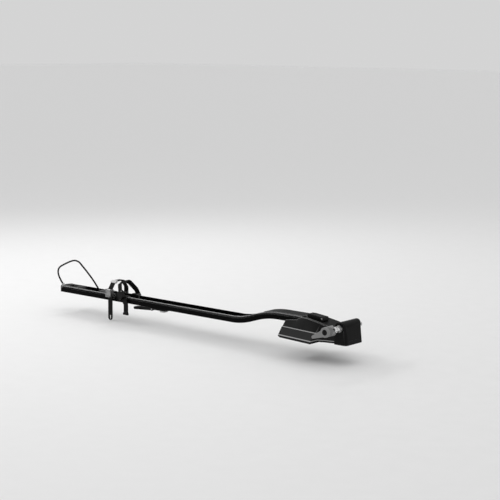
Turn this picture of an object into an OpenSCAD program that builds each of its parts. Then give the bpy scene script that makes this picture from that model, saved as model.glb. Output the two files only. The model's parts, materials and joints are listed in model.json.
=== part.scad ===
// Roof mounted bike carrier
// A fork head on the front crossbar holds the axle ends of a bike's fork, a bent rail carries the
// rear wheel, two buckled straps hold the wheel down, and a cable lock stows in the rail.
// Millimetres. Origin in the middle of the front foot's underside, +X forward, +Y left, +Z up.

/* [Rail] */
// Outer width of the rail
rail_width = 64; // [63:0.5:66]
// Height of the rail's side walls
rail_height = 22; // [21:0.5:23]
// Wall thickness of the rail
rail_wall = 3; // [2.5:0.25:3.25]
// Thickness of the rail's floor
rail_floor = 2.5; // [2:0.25:3]
// Distance from the front crossbar back to the rail's tail
rail_reach = 1190; // [1180:5:1200]
// Gap that the rear foot fills between the rail and the crossbar
rail_lift = 8; // [7:0.5:9]
// Height the rail climbs to the fork head
bend_rise = 36; // [34:0.5:38]
// Slope of the climb in degrees
bend_angle = 18; // [17:0.5:18]
// Radius of the two bends
bend_radius = 280; // [240:10:290]

/* [Fork head] */
// Width between the fork legs, the usual quick-release axle length
fork_spacing = 100; // [98:0.5:104]
// Height of the axle above the crossbar
axle_height = 52; // [51:0.5:54]
// Distance of the axle in front of the crossbar
axle_forward = 100; // [98:1:104]
// Radius of the rounded top of the fork block
block_radius = 20; // [19:0.5:21]
// Radius of the cam lever's barrel
lever_radius = 16; // [15:0.5:17]
// Length of the cam lever's arm
lever_length = 58; // [54:1:64]

/* [Front foot] */
// Half width of the foot at its back edge
foot_half = 83.5; // [80:0.5:87]
// Widening of the foot towards the front, per millimetre of length
foot_flare = 0.115; // [0.1:0.005:0.125]
// Height of the step between the two tiers
ledge_height = 31; // [29:0.5:32]
// Wall thickness of the plastic mouldings
shell_wall = 3; // [2.5:0.25:3.5]
// Distance between the two front bolts
bolt_spacing = 17; // [16:0.5:18]

/* [Rear foot] */
// Distance between the two crossbars
bar_spacing = 696; // [680:2:710]
// Length of the clamp lever under the rail
clamp_length = 88; // [80:1:96]

/* [Wheel straps] */
// Distance of the rear strap in front of the rail's tail
strap_reach = 268; // [266:1:274]
// Distance between the two straps
strap_spacing = 62; // [60:1:64]
// Width of a strap
strap_width = 20; // [18:0.5:21]
// Thickness of a strap
strap_thick = 3; // [2.5:0.25:3.25]
// Height of the centres of the strap's round shoulders
arch_height = 66; // [64:0.5:68]
// Inner radius of the strap's round shoulders
crown_radius = 10; // [9:0.5:11]
// Backward lean of the front strap in degrees
front_lean = 35; // [30:1:37]
// How far the rear strap's tail hangs below the crossbar
rear_tail = 61; // [50:1:70]
// How far the front strap's tail hangs below the crossbar
front_tail = 32; // [25:1:45]

/* [Cable lock] */
// Diameter of the lock's cable
cable_diameter = 6; // [5:0.25:6.25]
// Length of the lock body
lock_length = 56; // [50:1:56]
// Width of the lock body
lock_width = 43; // [40:0.5:44]
// Height of the lock body
lock_height = 22; // [20:0.5:23]

/* [Hidden] */
$fn = 48;

// Clearances
slide_gap = 0.1;
free_gap = 0.3;
run_gap = 0.05;
loose_gap = 0.4;
through = 1;

// Rail
rail_half = rail_width / 2;
shoulder_in = 5;
shoulder_base = rail_height - 7;
rim_half = rail_half - shoulder_in;
mouth_half = rim_half - rail_wall;
inner_half = rail_half - rail_wall;
floor_z = rail_lift + rail_floor;
rim_z = rail_lift + rail_height;
hump_z = rail_lift + bend_rise;
hump_floor_z = hump_z + rail_floor;
hump_rim_z = hump_z + rail_height;
hump_back = -157;
rail_stop = -63;
tail_x = -rail_reach;
climb = (bend_rise - 2 * bend_radius * (1 - cos(bend_angle))) / sin(bend_angle);
bend_run = 2 * bend_radius * sin(bend_angle) + climb * cos(bend_angle);
bend_start = hump_back - bend_run;
bend_steps = 12;
rail_screw_y = 14;
rail_screw_x = -84;
rail_screw_r = 2.5;
rail_screw_head_r = 4;
rail_screw_head = 3;
rail_screw_depth = 14;
cover_thick = 2;
cover_turn = 12;
cover_end = 3;

// Tail
cap_depth = 100;
cap_gap = 0.2;
nose_length = 16;
nose_radius = 45;
nose_chamfer_x = 6;
nose_chamfer_z = 14;
ramp_length = 35;
ramp_toe = 2;
pocket_length = 38;
pocket_width = 26;
pocket_depth = 12;
pocket_x = tail_x + 35;
tail_screw_x = tail_x + 62;
tail_screw_y = 14;
tail_screw_r = 2;
tail_screw_head_r = 4;
tail_screw_head = 2.5;
tail_screw_depth = 9;
port_tilt = atan(0.85);
port_back = sin(port_tilt);
port_up = cos(port_tilt);
port_depth = 20;
port_x = tail_x - 10;
port_y = -12;
ferrule_r = 5.5;
ferrule_in = 5;
ferrule_out = 4;

// Front foot
pad_thick = 3;
pad_inset = 3;
lip_height = 8;
foot_back = -115;
foot_front = 28;
tier_back = -124;
ledge_half = foot_half - 31;
ledge_front_half = ledge_half + foot_flare * (foot_front - tier_back);
tier_inset = 1.5;
top_half = rail_half + 10;
top_chamfer = 5;
top_chamfer_drop = 2;
rail_gap = 0.2;
spine_back = rail_stop + cover_end;
spine_z = hump_rim_z - 2;
spine_drop_x = -36;
spine_mid_x = 0;
cowl_x = -78;
cowl_back_z = hump_z + 3.5;
cowl_mid_z = hump_z + 10;
ridge_high = 2.5;
block_half = fork_spacing / 2 - 4;
recess_r = block_radius - 5;
recess_deep = 4;
end_y = block_half - recess_deep;
core_y = end_y - shell_wall;
front_tilt = 6.5;
corner_r = 14;
corner_proud = 0.25;
block_back = axle_forward - block_radius;
block_front = axle_forward + (block_radius + axle_height * sin(front_tilt)) / cos(front_tilt);
flank_points = [[foot_front - 6, ledge_front_half - 2], [foot_front + 6, ledge_front_half - 8],
    [foot_front + 18, block_half + 10.5], [foot_front + 32, block_half + 5.5]];
spine_profile = [[tier_back, cowl_back_z], [cowl_x, cowl_mid_z], [spine_back, spine_z], [spine_drop_x, spine_z],
    [spine_mid_x, spine_z - 5], [foot_front + 8, spine_z - 11.4], [foot_front + 24, spine_z - 15.5],
    [block_back, spine_z - 18]];
top_profile = [[spine_back, rail_half + 4], [foot_front, top_half]];
cover_profile = concat([[tier_back, ledge_half]], flank_points, [[block_back, block_half]]);
cover_places = concat([tier_back + tier_inset, cowl_x, spine_back, spine_drop_x, spine_mid_x],
    [for (p = flank_points) p[0]], [block_back]);
opening_half = 30;
opening_back = -108;
opening_front = 22;

// Casting and bolts
plate_half = 42;
plate_top = pad_thick + 6;
plate_back = -104;
plate_front = 21;
saddle_front = -70;
saddle_half = 28;
tower_r = 9;
tower_top = 30;
bolt_r = 4;
bolt_hole_r = 4.4;
pad_hole_r = 5;
bolt_y = bolt_spacing / 2;
bolt_head_r = 6.5;
bolt_head = 8;
socket_r = 3.4;
socket_depth = 5;
nut_side = 20;
nut_length = 16;
nut_thick = 5;
lip_thick = 4;
neck_half = 20;
neck_wall = 6;
neck_top = 40;
core_r = 13;
core_half_x = 13;
core_half_y = core_y - 4;
tube_r = 6;
tube_bore = 2.6;
stub_r = 4.5;
stub_reach = fork_spacing / 2 + 6;
seat_r = 11;
seat_teeth = 16;
groove_low = 12;
groove_high = 14;
groove_half = 26;
groove_deep = 1;

// Lid over the front bolts
lid_back = -54;
lid_side = -49;
lid_front = 12;
lid_half = 15;
lid_knuckle = 9;
lid_top = 11;
lid_tail = 13;
lid_nose = 2;
lid_shoulder = -38;
lid_wall = 2.5;
seat_half = lid_half + 3;
lid_hollow_front = 0;
lid_rib = 0.8;
lid_ribs = [-9.5, 0, 9.5];
lid_rib_half = 1.8;
lid_pin_r = 1.5;
lid_barrel_r = 3.2;
lid_pin_z = spine_z + lid_barrel_r + free_gap;
lug_r = 3.5;
lug_width = 4;
lid_lock_x = 6.5;
lid_lock_z = spine_z + 0.3;
lid_lock_r = 3.4;
lid_lock_deep = 10;
lid_lock_proud = 0.6;
window_back = -44;
window_front = 8;
window_half = 12.5;
window_deep = 15;

// Skewer and cam lever
dropout_gap = 8;
collar_y = fork_spacing / 2 + dropout_gap;
collar_length = 21.7;
collar_r = 9.5;
collar_step_r = 7.5;
collar_step = 7;
pivot_y = collar_y + collar_length + free_gap + lever_radius;
lever_turn = 156;
barrel_out = 26;
barrel_grooves = [6, 9.5, 13, 16.5];
groove_width = 1.6;
groove_cut = 1.2;
skewer_r = 2.5;
eye_r = 5.6;
eye_half = 4;
lever_pin_r = 3;
pin_half = 13;
slot_half = eye_half + 0.2;
slot_r = eye_r + 0.8;
arm_near = 10;
arm_far = 22;
arm_root_high = 14;
arm_root_low = 12;
arm_tip_r = 5;
lock_r = 9;
lock_depth = 14;
lock_proud = 0.6;
key_length = 9;
key_width = 1.8;
key_deep = 3;
knob_length = 6;
knob_r = 7;
knob_flutes = 10;
knob_flute_r = 1.2;
skewer_end = collar_y + knob_length + 1;

// Rear foot
rear_x = -bar_spacing;
rear_pad_thick = 2;
rear_pad_x = 30;
rear_pad_y = 24;
rear_half_x = 34;
rear_half_y = 27;
rear_top = rail_lift - slide_gap;
slot_back = 46;
slot_front = 66;
slot_width = 9;
rear_hole_r = 4.2;
tee_side = 20;
tee_thick = 4;
plate_low = floor_z + slide_gap;
plate_high = plate_low + 3.5;
plate_x = 20;
plate_y = 13;
hex_r = 7.5;
hex_high = 6;
rear_stud_top = plate_high + hex_high + 1;
clamp_x = rear_x - 48;
clamp_z = -2;
clamp_barrel_r = 5.5;
clamp_half = 8;
clamp_pin_r = 2.5;
clamp_lug = 4;
clamp_lug_r = 6;
clamp_in = clamp_half + loose_gap;
clamp_out = clamp_in + clamp_lug;
clamp_tip_r = 5;
clamp_tip_z = -9;
scallop_r = 9;
scallop_z = -20.5;
scallops = [22, 44, 66];

// Strap cradle, straps and buckles
rear_strap_x = tail_x + strap_reach;
front_strap_x = rear_strap_x + strap_spacing;
strap_places = [rear_strap_x, front_strap_x];
strap_leans = [0, -front_lean];
rear = 0;
front = 1;
strap_half = strap_width / 2;
shoulder_y = 15;
tail_bend = 29;
bend_proud = 0.8;
bend_x = tail_bend * sin(front_lean);
bend_z = rim_z - tail_bend * cos(front_lean);
cradle_end = 22;
cradle_back = rear_strap_x - cradle_end;
cradle_front = front_strap_x + cradle_end;
cradle_low = floor_z + slide_gap;
cradle_floor = 2.5;
cradle_top = rim_z + 3.5;
cradle_wall = 3;
cradle_wall_out = mouth_half - 1;
cradle_wall_in = cradle_wall_out - cradle_wall;
tab_half = strap_half + 4;
tab_low = rim_z + 0.5;
lip_in = rail_half + 1;
lip_out = lip_in + 3;
lip_low = rim_z - 12;
frame_thick = 2;
frame_gap = 0.2;
arch_in = lip_out + frame_thick + frame_gap;
arch_out = arch_in + strap_thick;
strap_end_low = lip_low + 2;
rivet_r = 2.5;
rivet_head_r = 4.5;
rivet_head = 1.2;
rivet_z = lip_low + 7;
rung_pitch = 6;
rung_deep = 0.8;
rung_high = 2;
rung_margin = 4;
eyelet_width = 7;
eyelet_length = 13;
eyelet_up = 5;
tab_thick = 2;
tab_high = 8;
cheek_in = strap_half + 0.6;
cheek_out = cheek_in + 2;
frame_low = lip_low + 7;
frame_high = rim_z + 22;
cheek_y = arch_out + 11;
buckle_pin_y = arch_out + 5.5;
buckle_pin_z = frame_high - 4;
buckle_pin_r = 1.6;
buckle_barrel_r = 4.6;
handle_half = cheek_in - free_gap;
handle_in = arch_out + 6.5;
handle_out = arch_out + 10;
handle_low = lip_low + 6;
handle_lip = 3;
pad_angle = 66;
pad_tilt = 29;
pad_half = strap_half + 3;
pad_in = crown_radius - 3.5;
pad_out = crown_radius + strap_thick + 1.8;

// Cable lock, lying in the rail between the tail cap and the cradle
cable_r = cable_diameter / 2;
cable_sides = 10;
port_gap = 0.2;
lock_front = cradle_back - 4;
lock_back = lock_front - lock_length;
lock_half = lock_width / 2;
lock_z = floor_z;
lock_round = 6;
lock_port = 10;
lock_port_y = 13;
lock_port_z = floor_z + 9.5;
core_x = lock_front - 14;
key_y = -9;
core_lock_r = 7;
core_deep = 9;
core_proud = 0.6;
cradle_travel = 35;
loop_turn_x = cradle_front + cradle_travel + 33;
loop_half = inner_half - cable_r - 2;
loop_inner = cradle_wall_in - cable_r - 0.5;
loop_low = floor_z + cable_r;
loop_high = cradle_low + cradle_floor + cable_r + 0.3;
feed_mid = [[-13, 14], [-23, 28], [-28.5, 42], [-26.5, 55], [-17, 65.5], [1, 75], [22, 84.5], [44, 93],
    [65, 97.5], [86, 94], [103, 82]];
feed_start = [port_x + port_back * port_depth, port_y, rim_z - port_up * port_depth];
feed_route = concat(
    [feed_start, [port_x, port_y, rim_z]],
    [for (p = feed_mid) [port_x + p[0], port_y, rim_z + p[1]]],
    [[lock_back - 76, -8, rim_z + 65], [lock_back - 48, -3, rim_z + 36], [lock_back - 26, 0, rim_z + 10]],
    [[lock_back - 8, 0, lock_port_z + 1], [lock_back + lock_port, 0, lock_port_z]]);
loop_route = concat(
    [[lock_front - lock_port, lock_port_y, lock_port_z], [lock_front + 2, lock_port_y, lock_port_z]],
    [[cradle_back + 18, loop_inner - 1, loop_high], [cradle_back + 50, loop_inner, loop_high]],
    [[cradle_front, loop_inner, loop_high], [cradle_front + cradle_travel, loop_inner, loop_high]],
    [[loop_turn_x, loop_half, loop_low]],
    [for (a = [60, 30, 0, -30, -60])
        [loop_turn_x + loop_half * cos(a), loop_half * sin(a), loop_low]],
    [[loop_turn_x, -loop_half, loop_low]],
    [[cradle_front + cradle_travel, -loop_inner, loop_high], [cradle_front, -loop_inner, loop_high]],
    [[cradle_back + 50, -loop_inner, loop_high], [cradle_back + 18, -loop_inner + 1, loop_high]],
    [[lock_front + 2, -lock_port_y, lock_port_z], [lock_front - lock_port, -lock_port_y, lock_port_z]]);

// Boxes and rods by their limits
module block(x, y, z)
    translate([x[0], y[0], z[0]])
        cube([x[1] - x[0], y[1] - y[0], z[1] - z[0]]);

module rod_x(y, z, r, x)
    translate([x[0], y, z])
        rotate([0, 90, 0])
            cylinder(r = r, h = x[1] - x[0]);

module rod_y(x, z, r, y)
    translate([x, y[0], z])
        rotate([-90, 0, 0])
            cylinder(r = r, h = y[1] - y[0]);

module rod_z(x, y, r, z)
    translate([x, y, z[0]])
        cylinder(r = r, h = z[1] - z[0]);

module both_sides() {
    children();
    mirror([0, 1, 0])
        children();
}

// A side view outline in X and Z, given a width in Y
module side_form(y)
    translate([0, y[1], 0])
        rotate([90, 0, 0])
            linear_extrude(height = y[1] - y[0])
                children();

// A plan outline given a height
module plan_form(z)
    translate([0, 0, z[0]])
        linear_extrude(height = z[1] - z[0])
            children();

// A cross section in Y and Z, given a length in X
module cross_form(x)
    translate([x[0], 0, 0])
        rotate([90, 0, 90])
            linear_extrude(height = x[1] - x[0])
                children();

// A solid through rings of points, each ring with the same number of corners
module loft_form(rings, caps = []) {
    count = len(rings[0]);
    last = count - 1;
    ends = len(rings) - 1;
    sheets = len(caps) > 0 ? caps : [[for (k = [0 : last]) k]];
    polyhedron(
        points = [for (ring = rings) for (p = ring) p],
        faces = concat(
            sheets,
            [for (cap = sheets) [for (k = [len(cap) - 1 : -1 : 0]) ends * count + cap[k]]],
            [for (i = [0 : ends - 1]) for (k = [0 : last])
                [i * count + k, (i + 1) * count + k, (i + 1) * count + (k + 1) % count]],
            [for (i = [0 : ends - 1]) for (k = [0 : last])
                [i * count + k, (i + 1) * count + (k + 1) % count, i * count + (k + 1) % count]]));
}

// A solid between a low and a high plan outline
module tier_form(low, high, z)
    loft_form([[for (p = low) [p[0], p[1], z[0]]], [for (p = high) [p[0], p[1], z[1]]]]);

// Outlines of the foot: straight back and front, sides that widen forwards
function foot_outline(back, half, inset) = [
    [back + inset, -half + inset],
    [foot_front - inset, -half - foot_flare * (foot_front - back) + inset],
    [foot_front - inset, half + foot_flare * (foot_front - back) - inset],
    [back + inset, half - inset]];
function lip_outline(inset) = foot_outline(foot_back, foot_half, inset);
function ledge_outline(inset) = foot_outline(tier_back, ledge_half, inset);

// A rounded line through the route's points
function pick(route, i) = route[max(0, min(len(route) - 1, i))];
function blend(a, b, c, d, t) =
    0.5 * (2 * b + (c - a) * t + (2 * a - 5 * b + 4 * c - d) * t * t
        + (3 * b - a - 3 * c + d) * t * t * t);
function smooth(route, steps) = concat(
    [for (i = [0 : len(route) - 2]) for (s = [0 : steps - 1])
        blend(pick(route, i - 1), pick(route, i), pick(route, i + 1), pick(route, i + 2), s / steps)],
    [route[len(route) - 1]]);
function unit(v) = v / norm(v);

// A round cable along a route; level is a direction that the route never runs along
module cable_form(route, r, level) {
    line = smooth(route, 2);
    count = len(line);
    heading = [for (i = [0 : count - 1]) unit(pick(line, i + 1) - pick(line, i - 1))];
    side = [for (t = heading) unit(cross(t, level))];
    rise = [for (i = [0 : count - 1]) cross(side[i], heading[i])];
    last = cable_sides - 1;
    polyhedron(
        points = [for (i = [0 : count - 1]) for (k = [0 : last])
            line[i] + r * cos(360 * k / cable_sides) * side[i] + r * sin(360 * k / cable_sides) * rise[i]],
        faces = concat(
            [[for (k = [0 : last]) k]],
            [[for (k = [last : -1 : 0]) (count - 1) * cable_sides + k]],
            [for (i = [0 : count - 2]) for (k = [0 : last])
                [i * cable_sides + k, (i + 1) * cable_sides + k,
                    (i + 1) * cable_sides + (k + 1) % cable_sides, i * cable_sides + (k + 1) % cable_sides]]));
}

// A cross section of Y and Z points carried along stations of [x, z, slope]
module sweep_form(section, stations) {
    count = len(section);
    last = count - 1;
    ends = len(stations) - 1;
    polyhedron(
        points = [for (s = stations) for (p = section)
            [s[0] - p[1] * sin(s[2]), p[0], s[1] + p[1] * cos(s[2])]],
        faces = concat(
            [[for (k = [0 : last]) k]],
            [[for (k = [last : -1 : 0]) ends * count + k]],
            [for (i = [0 : ends - 1]) for (k = [0 : last])
                [i * count + k, (i + 1) * count + k,
                    (i + 1) * count + (k + 1) % count, i * count + (k + 1) % count]]));
}

// Rail cross section, with its underside on the zero line
rail_section = [
    [-rail_half, 0], [rail_half, 0], [rail_half, shoulder_base], [rim_half, rail_height],
    [mouth_half, rail_height], [inner_half, shoulder_base], [inner_half, rail_floor],
    [-inner_half, rail_floor], [-inner_half, shoulder_base], [-mouth_half, rail_height],
    [-rim_half, rail_height], [-rail_half, shoulder_base]];

// The rail's underside: level, up through the first bend, climbing, then level again
rail_stations = concat(
    [[tail_x, rail_lift, 0]],
    [for (i = [0 : bend_steps]) let (a = bend_angle * i / bend_steps)
        [bend_start + bend_radius * sin(a), rail_lift + bend_radius * (1 - cos(a)), a]],
    [for (i = [bend_steps : -1 : 0]) let (a = bend_angle * i / bend_steps)
        [hump_back - bend_radius * sin(a), hump_z - bend_radius * (1 - cos(a)), a]],
    [[rail_stop, hump_z, 0]]);

// The second bend turns level again about a centre below the rail
module bend_level(angle)
    translate([hump_back, 0, hump_z - bend_radius])
        rotate([90, 0, 0])
            rotate([0, 0, 90])
                rotate_extrude(angle = angle, $fn = 180)
                    translate([bend_radius, 0])
                        rotate(-90)
                            children();

module wheel_rail()
    color([0.10, 0.10, 0.11])
        difference() {
            sweep_form(rail_section, rail_stations);
            block([rear_x - slot_back, rear_x + slot_front], [-slot_width / 2, slot_width / 2],
                [rail_lift - through, floor_z + through]);
            both_sides() {
                rod_z(rail_screw_x, rail_screw_y, rail_screw_r, [hump_z - through, hump_floor_z + through]);
                rod_z(tail_screw_x, tail_screw_y, tail_screw_r, [rail_lift - through, floor_z + through]);
            }
        }

module hump_cover()
    color([0.30, 0.30, 0.31])
        union() {
            bend_level(cover_turn)
                translate([-rim_half, rail_height])
                    square([2 * rim_half, cover_thick]);
            block([hump_back, spine_back], [-rim_half, rim_half], [hump_rim_z, hump_rim_z + cover_thick]);
            block([rail_stop, spine_back], [-rim_half, rim_half], [hump_z, hump_rim_z + cover_thick]);
        }

module rail_screws()
    color([0.55, 0.55, 0.56])
        both_sides() {
            rod_z(rail_screw_x, rail_screw_y, rail_screw_r, [hump_z - rail_screw_depth, hump_floor_z]);
            difference() {
                rod_z(rail_screw_x, rail_screw_y, rail_screw_head_r,
                    [hump_floor_z, hump_floor_z + rail_screw_head]);
                translate([rail_screw_x, rail_screw_y, hump_floor_z + through])
                    cylinder(r = rail_screw_r - 0.5, h = rail_screw_head, $fn = 6);
            }
        }

// The cap's inside outline follows the channel with a small gap
module cap_section()
    polygon([
        [-inner_half + cap_gap, 0], [inner_half - cap_gap, 0],
        [inner_half - cap_gap, shoulder_base - rail_floor],
        [mouth_half - cap_gap, rail_height - rail_floor], [-mouth_half + cap_gap, rail_height - rail_floor],
        [-inner_half + cap_gap, shoulder_base - rail_floor]]);

module nose_section()
    polygon([
        [-rail_half, 0], [rail_half, 0], [rail_half, shoulder_base], [rim_half, rail_height],
        [-rim_half, rail_height], [-rail_half, shoulder_base]]);

module nose_side()
    polygon([
        [tail_x, rail_lift], [tail_x - nose_length + nose_chamfer_x, rail_lift],
        [tail_x - nose_length, rail_lift + nose_chamfer_z], [tail_x - nose_length, rim_z],
        [tail_x, rim_z]]);

module port_axis()
    translate([port_x, port_y, rim_z])
        rotate([0, -port_tilt, 0])
            children();

module tail_cap()
    color([0.13, 0.13, 0.14])
        difference() {
            union() {
                translate([0, 0, floor_z])
                    cross_form([tail_x - through, tail_x + cap_depth])
                        cap_section();
                intersection() {
                    translate([0, 0, rail_lift])
                        cross_form([tail_x - nose_length, tail_x])
                            nose_section();
                    rod_z(tail_x - nose_length + nose_radius, 0, nose_radius, [0, rim_z + through]);
                    side_form([-rail_half, rail_half])
                        nose_side();
                }
            }
            translate([tail_x + cap_depth - ramp_length, 0, rim_z])
                rotate([0, atan((rail_height - rail_floor - ramp_toe) / ramp_length), 0])
                    block([0, 2 * ramp_length], [-rail_half, rail_half], [0, rail_height]);
            both_sides()
                translate([pocket_x - pocket_length / 2 + pocket_width / 2, 0, rim_z - pocket_depth]) {
                    cylinder(d = pocket_width, h = pocket_depth + through);
                    translate([pocket_length - pocket_width, 0, 0])
                        cylinder(d = pocket_width, h = pocket_depth + through);
                    block([0, pocket_length - pocket_width], [-pocket_width / 2, pocket_width / 2],
                        [0, pocket_depth + through]);
                }
            port_axis() {
                translate([0, 0, -port_depth])
                    cylinder(r = cable_r + port_gap, h = 2 * port_depth);
                translate([0, 0, -ferrule_in])
                    cylinder(r = ferrule_r, h = port_depth);
            }
            both_sides()
                rod_z(tail_screw_x, tail_screw_y, tail_screw_r, [floor_z - through, floor_z + tail_screw_depth]);
        }

module tail_screws()
    color([0.55, 0.55, 0.56])
        both_sides() {
            rod_z(tail_screw_x, tail_screw_y, tail_screw_r, [rail_lift, floor_z + tail_screw_depth]);
            difference() {
                rod_z(tail_screw_x, tail_screw_y, tail_screw_head_r, [rail_lift - tail_screw_head, rail_lift]);
                translate([tail_screw_x, tail_screw_y, rail_lift - tail_screw_head - through])
                    cylinder(r = tail_screw_r, h = tail_screw_head, $fn = 6);
            }
        }

module cable_ferrule()
    color([0.45, 0.45, 0.46])
        port_axis()
            difference() {
                translate([0, 0, -ferrule_in])
                    cylinder(r = ferrule_r, h = ferrule_in + ferrule_out);
                translate([0, 0, -ferrule_in - through])
                    cylinder(r = cable_r + port_gap, h = ferrule_in + ferrule_out + 2 * through);
            }

module foot_pad()
    color([0.06, 0.06, 0.06])
        difference() {
            plan_form([0, pad_thick])
                polygon(lip_outline(pad_inset));
            both_sides()
                rod_z(0, bolt_y, pad_hole_r, [-through, pad_thick + through]);
        }

// Plan outline of the hollow fillets that join the foot to the fork block
module flank_plan(inset)
    polygon(concat(
        [for (p = flank_points) [p[0], -p[1] + inset]],
        [[block_back, -block_half + inset], [block_back, block_half - inset]],
        [for (i = [len(flank_points) - 1 : -1 : 0]) [flank_points[i][0], flank_points[i][1] - inset]]));

module head_base()
    color([0.17, 0.17, 0.18])
        difference() {
            union() {
                plan_form([pad_thick, lip_height])
                    polygon(lip_outline(0));
                tier_form(lip_outline(0), ledge_outline(0), [lip_height, ledge_height]);
                plan_form([pad_thick, ledge_height])
                    flank_plan(0);
            }
            plan_form([pad_thick - through, lip_height])
                polygon(lip_outline(shell_wall));
            tier_form(lip_outline(shell_wall), ledge_outline(shell_wall),
                [lip_height, ledge_height - shell_wall]);
            plan_form([pad_thick - through, ledge_height - shell_wall])
                flank_plan(shell_wall);
            block([opening_back, opening_front], [-opening_half, opening_half],
                [ledge_height - 2 * shell_wall, ledge_height + through]);
            block([opening_front - through, block_back + through], [-opening_half, opening_half],
                [pad_thick - through, ledge_height + through]);
        }

// Cross section of the upper moulding at a place along it: steep walls, a ridge on each side, a flat seat
function cover_ring(x, shift, inset, low_z) =
    let (low = lookup(x, cover_profile) - tier_inset - inset)
    let (high = lookup(x, spine_profile) - inset)
    let (ridge = high + ridge_high)
    let (side = lookup(x, top_profile) - inset)
    [[x + shift, -low, low_z], [x + shift, low, low_z], [x + shift, side, ridge - top_chamfer_drop],
        [x + shift, side - top_chamfer, ridge], [x + shift, seat_half, high], [x + shift, -seat_half, high],
        [x + shift, -side + top_chamfer, ridge], [x + shift, -side, ridge - top_chamfer_drop]];

// The upper moulding, or with an inset the hollow inside it
module cover_form(inset, low_z) {
    last = len(cover_places) - 1;
    loft_form([for (i = [0 : last])
        cover_ring(cover_places[i], i == 0 ? inset : (i == last ? -inset : 0), inset, low_z)],
        [[0, 1, 4, 5], [1, 2, 3, 4], [5, 6, 7, 0]]);
}

module head_cover()
    color([0.15, 0.15, 0.16])
        difference() {
            union() {
                cover_form(0, ledge_height);
                both_sides()
                    translate([lid_back, lid_knuckle + loose_gap, lid_pin_z])
                        rotate([-90, 0, 0]) {
                            cylinder(r = lug_r, h = lug_width);
                            translate([-lug_r, 0, 0])
                                cube([2 * lug_r, lid_pin_z - spine_z + shell_wall, lug_width]);
                        }
            }
            cover_form(shell_wall, ledge_height - through);
            block([tier_back - through, spine_back], [-rail_half - rail_gap, rail_half + rail_gap],
                [hump_z, spine_z + ridge_high + through]);
            block([block_back - shell_wall - through, block_back + through],
                [-opening_half, opening_half], [ledge_height - through, neck_top + 2]);
            block([window_back, window_front], [-window_half, window_half],
                [spine_z - window_deep, spine_z + through]);
            rod_y(lid_back, lid_pin_z, lid_pin_r, [-lid_half, lid_half]);
        }

module head_casting()
    color([0.42, 0.42, 0.43])
        difference() {
            union() {
                block([plate_back, plate_front], [-plate_half, plate_half], [pad_thick, plate_top]);
                block([plate_front - through, axle_forward + core_half_x], [-neck_half, neck_half],
                    [pad_thick, plate_top]);
                block([plate_back, saddle_front], [-saddle_half, saddle_half], [plate_top - through, hump_z]);
                both_sides() {
                    rod_z(0, bolt_y, tower_r, [plate_top - through, tower_top]);
                    block([saddle_front - through, axle_forward], [neck_half - neck_wall, neck_half],
                        [plate_top - through, tower_top - through]);
                    block([plate_front, axle_forward], [neck_half - neck_wall, neck_half],
                        [plate_top - through, neck_top]);
                }
                block([axle_forward - core_half_x, axle_forward + core_half_x],
                    [-core_half_y, core_half_y], [pad_thick, axle_height]);
                rod_y(axle_forward, axle_height, core_r, [-core_half_y, core_half_y]);
            }
            both_sides() {
                rod_z(0, bolt_y, bolt_hole_r, [0, tower_top + through]);
                rod_z(rail_screw_x, rail_screw_y, rail_screw_r,
                    [hump_z - rail_screw_depth, hump_z + through]);
            }
            rod_y(axle_forward, axle_height, tube_r, [-fork_spacing, fork_spacing]);
            block([plate_back + 2 * shell_wall, saddle_front - 2 * shell_wall],
                [-rail_screw_y + 2 * shell_wall, rail_screw_y - 2 * shell_wall], [plate_top, hump_z - 8]);
        }

// Side view of the fork block: round top, front face that leans back from its foot
module shell_outline(inset) {
    r = block_radius - inset;
    foot_z = inset > 0 ? -through : 0;
    translate([axle_forward, axle_height])
        circle(r = r);
    polygon([
        [block_back + inset, foot_z],
        [axle_forward + (r + (axle_height - foot_z) * sin(front_tilt)) / cos(front_tilt), foot_z],
        [axle_forward + r * cos(front_tilt), axle_height + r * sin(front_tilt)],
        [block_back + inset, axle_height]]);
}

module front_place()
    translate([block_front, 0, 0])
        rotate([0, -front_tilt, 0])
            children();

// Upright prism with the block's rounded front corners, a little proud of the faces it rounds
module corner_form(half, inset) {
    r = corner_r - inset;
    wide = half + corner_proud;
    ahead = corner_proud - inset;
    back = -4 * block_radius;
    front_place()
        plan_form([-block_radius, axle_height + 2 * block_radius]) {
            translate([back, -wide])
                square([ahead - r - back, 2 * wide]);
            translate([back, -wide + r])
                square([ahead - back, 2 * (wide - r)]);
            for (side = [-1, 1])
                translate([ahead - r, side * (wide - r)])
                    circle(r = r);
        }
}

module fork_shell()
    color([0.16, 0.16, 0.17])
        difference() {
            intersection() {
                side_form([-block_half, block_half])
                    shell_outline(0);
                corner_form(block_half, 0);
            }
            intersection() {
                side_form([-core_y, core_y])
                    shell_outline(shell_wall);
                corner_form(core_y, shell_wall);
            }
            both_sides()
                rod_y(axle_forward, axle_height, recess_r, [end_y, block_half + through]);
            rod_y(axle_forward, axle_height, tube_r, [-fork_spacing, fork_spacing]);
            block([block_back - through, block_back + shell_wall + through], [-opening_half, opening_half],
                [-through, neck_top + 2]);
            front_place()
                block([-groove_deep, through], [-groove_half, groove_half], [groove_low, groove_high]);
        }

module front_bolts()
    color([0.60, 0.60, 0.61])
        both_sides()
            difference() {
                union() {
                    rod_z(0, bolt_y, bolt_r, [-lip_thick - nut_thick, tower_top]);
                    rod_z(0, bolt_y, bolt_head_r, [tower_top, tower_top + bolt_head]);
                }
                translate([0, bolt_y, tower_top + bolt_head - socket_depth])
                    cylinder(r = socket_r, h = bolt_head, $fn = 6);
            }

module front_t_nuts()
    color([0.60, 0.60, 0.61])
        both_sides()
            difference() {
                block([-nut_side / 2, nut_side / 2], [bolt_y - nut_length / 2, bolt_y + nut_length / 2],
                    [-lip_thick - nut_thick, -lip_thick]);
                rod_z(0, bolt_y, bolt_r, [-lip_thick - 2 * nut_thick, 0]);
            }

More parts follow.
